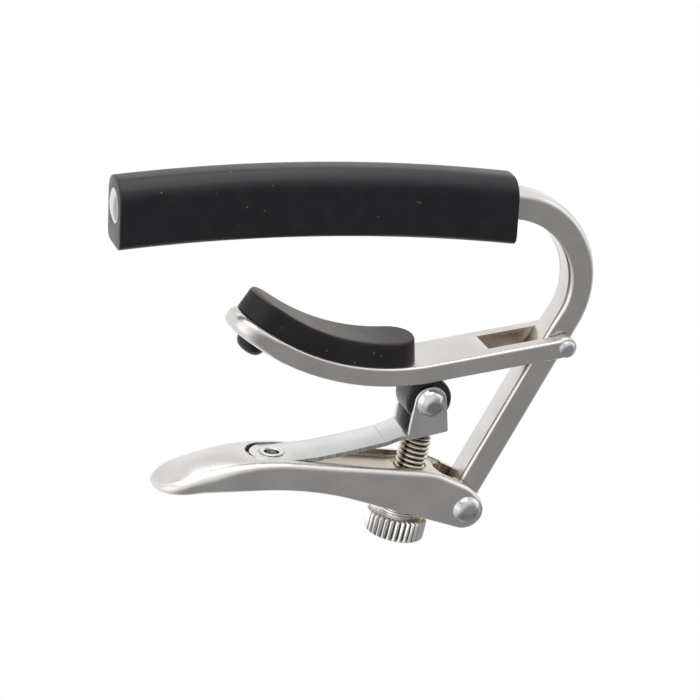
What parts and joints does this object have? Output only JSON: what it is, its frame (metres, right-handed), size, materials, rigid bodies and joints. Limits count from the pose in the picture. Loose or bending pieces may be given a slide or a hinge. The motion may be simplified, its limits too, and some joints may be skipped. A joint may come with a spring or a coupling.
{
  "type": "guitar capo",
  "caption": "Lever-action guitar capo: rubber-sleeved bar over the strings, padded arm behind the neck, over-centre lever with roller and knurled thumbscrew.",
  "frame": {"origin": "on the underside of the rubber sleeve at its middle, where the strings are pressed; this is the mount neck_clamp", "axes": "+X along the sleeve towards the bend of the bar, +Y across the thin way of the capo, +Z away from the strings; the capo is symmetric about Y = 0"},
  "size_m": [0.0765, 0.0126, 0.0608],
  "materials": {
    "bar_steel": "satin stainless steel with brighter rounded edges",
    "sleeve_rubber": "smooth black rubber with a soft sheen and dust specks",
    "arm_steel": "satin stainless steel",
    "rivet_polished": "polished domed rivet",
    "pad_rubber": "matte black moulded rubber",
    "bumper_rubber": "matte black moulded rubber",
    "lever_steel": "satin cast stainless steel",
    "strap_steel": "satin spring steel",
    "eyelet_steel": "bright rolled hollow rivet",
    "roller_plastic": "black moulded plastic",
    "screw_nickel": "nickel-plated thread",
    "head_nickel": "nickel-plated knurled head"
  },
  "bodies": {
    "frame": {"frame_bar": "bar_steel", "bar_sleeve": "sleeve_rubber"},
    "arm": {"arm": "arm_steel", "arm_pivot_rivet": "rivet_polished", "neck_pad": "pad_rubber", "arm_bumper": "bumper_rubber"},
    "lever": {"lever": "lever_steel", "lever_pivot_rivet": "rivet_polished", "strap_rivet": "eyelet_steel"},
    "strap": {"spring_strap": "strap_steel", "roller_rivet": "rivet_polished"},
    "roller": {"roller": "roller_plastic"},
    "collar": {"screw_collar": "screw_nickel"},
    "thumbscrew": {"screw_stud": "screw_nickel", "screw_head": "head_nickel"}
  },
  "joints": [
    {"name": "lever_swing", "type": "hinge", "parent": "frame", "child": "lever", "pos_m": [0.0271, 0, -0.04405], "axis": [0, 1, 0], "range_deg": [-75, 18]},
    {"name": "arm_swing", "type": "hinge", "parent": "frame", "child": "arm", "pos_m": [0.0407, 0, -0.01765], "axis": [0, 1, 0], "range_deg": [-12.5, 3.2]},
    {"name": "strap_flex", "type": "hinge", "parent": "lever", "child": "strap", "pos_m": [-0.00385, 0, -0.0355], "axis": [0, -1, 0], "range_deg": [-3.8, 0]},
    {"name": "roller_spin", "type": "hinge", "parent": "strap", "child": "roller", "pos_m": [0.0198, 0, -0.0264], "axis": [0, 1, 0], "continuous": true},
    {"name": "screw_travel", "type": "slide", "parent": "lever", "child": "collar", "axis": [0.153, 0, 0.9882], "range_m": [-0.00159, 0]},
    {"name": "screw_turn", "type": "hinge", "parent": "collar", "child": "thumbscrew", "pos_m": [0.01754, 0, -0.04595], "axis": [0.153, 0, 0.9882], "range_deg": [-725, 0]}
  ],
  "couplings": [
    {"joint": "arm_swing", "follows": "lever_swing", "ratio": 0.16},
    {"joint": "screw_turn", "follows": "screw_travel", "rad_per_m": 7916},
    {"joint": "strap_flex", "follows": "screw_travel", "rad_per_m": 40.5}
  ]
}
